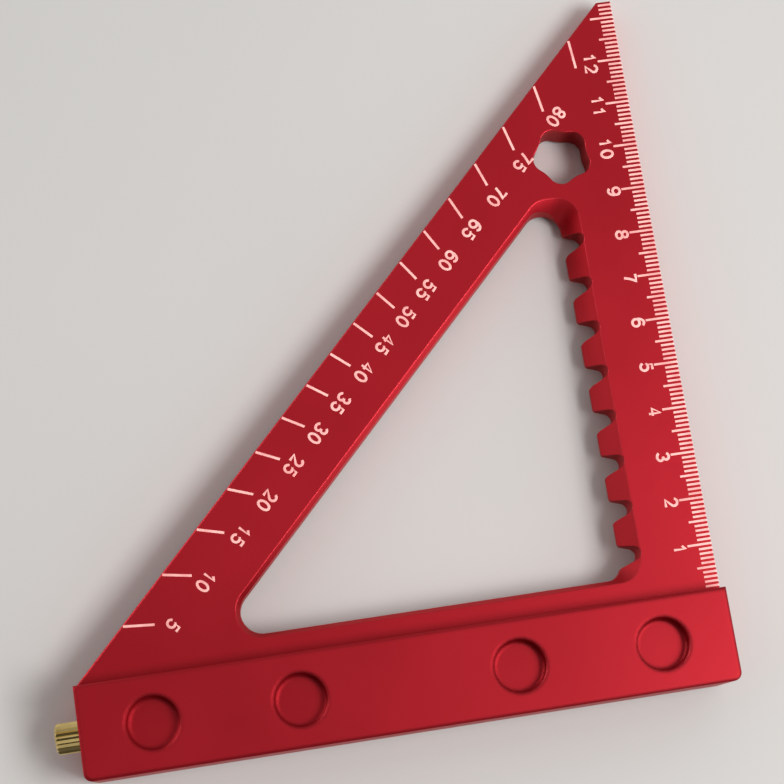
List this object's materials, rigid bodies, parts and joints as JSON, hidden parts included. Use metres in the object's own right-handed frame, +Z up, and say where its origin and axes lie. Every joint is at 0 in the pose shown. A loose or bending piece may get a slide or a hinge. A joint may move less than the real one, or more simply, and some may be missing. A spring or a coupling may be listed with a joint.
{
  "type": "set square with scriber",
  "caption": "Right-angled 45 degree set square: an anodised blade with a notched marking edge let into a thicker T-shaped fence, and a marking scriber stored in the fence.",
  "frame": {"origin": "centre of the footprint, knob included, at the underside of the fence", "axes": "+X along the fence towards the ruled edge, +Y up the ruled edge away from the fence, +Z up out of the engraved face"},
  "size_m": [0.1424, 0.1534, 0.0187],
  "materials": {
    "blade": "satin red anodised",
    "fence": "satin red anodised",
    "fence_screws": "zinc-plated steel",
    "dowel_pins": "ground steel",
    "scriber_knob": "turned and knurled brass",
    "scriber_barrel": "turned steel",
    "seal_ring": "black nitrile rubber",
    "collet": "spring steel",
    "chuck_nut": "turned steel with straight grip flutes",
    "scriber_needle": "hardened and ground steel"
  },
  "bodies": {
    "square": {"blade": "blade", "fence": "fence", "fence_screws": "fence_screws", "dowel_pins": "dowel_pins"},
    "ring": {"seal_ring": "seal_ring"},
    "scriber": {"scriber_knob": "scriber_knob", "scriber_barrel": "scriber_barrel"},
    "collet": {"collet": "collet"},
    "nut": {"chuck_nut": "chuck_nut"},
    "needle": {"scriber_needle": "scriber_needle"}
  },
  "joints": [
    {"name": "scriber_draw", "type": "slide", "parent": "square", "child": "ring", "axis": [-1, 0, 0], "range_m": [0, 0.07]},
    {"name": "scriber_turn", "type": "hinge", "parent": "ring", "child": "scriber", "pos_m": [-0.0686, -0.0669, 0.00935], "axis": [1, 0, 0], "continuous": true},
    {"name": "collet_travel", "type": "slide", "parent": "scriber", "child": "collet", "axis": [1, 0, 0], "range_m": [0, 0.0005]},
    {"name": "nut_turn", "type": "hinge", "parent": "collet", "child": "nut", "pos_m": [-0.0158, -0.0669, 0.00935], "axis": [1, 0, 0], "range_deg": [0, 360]},
    {"name": "needle_reach", "type": "slide", "parent": "collet", "child": "needle", "axis": [1, 0, 0], "range_m": [-0.012, 0.006]}
  ],
  "couplings": [
    {"joint": "nut_turn", "follows": "collet_travel", "rad_per_m": 12566}
  ]
}
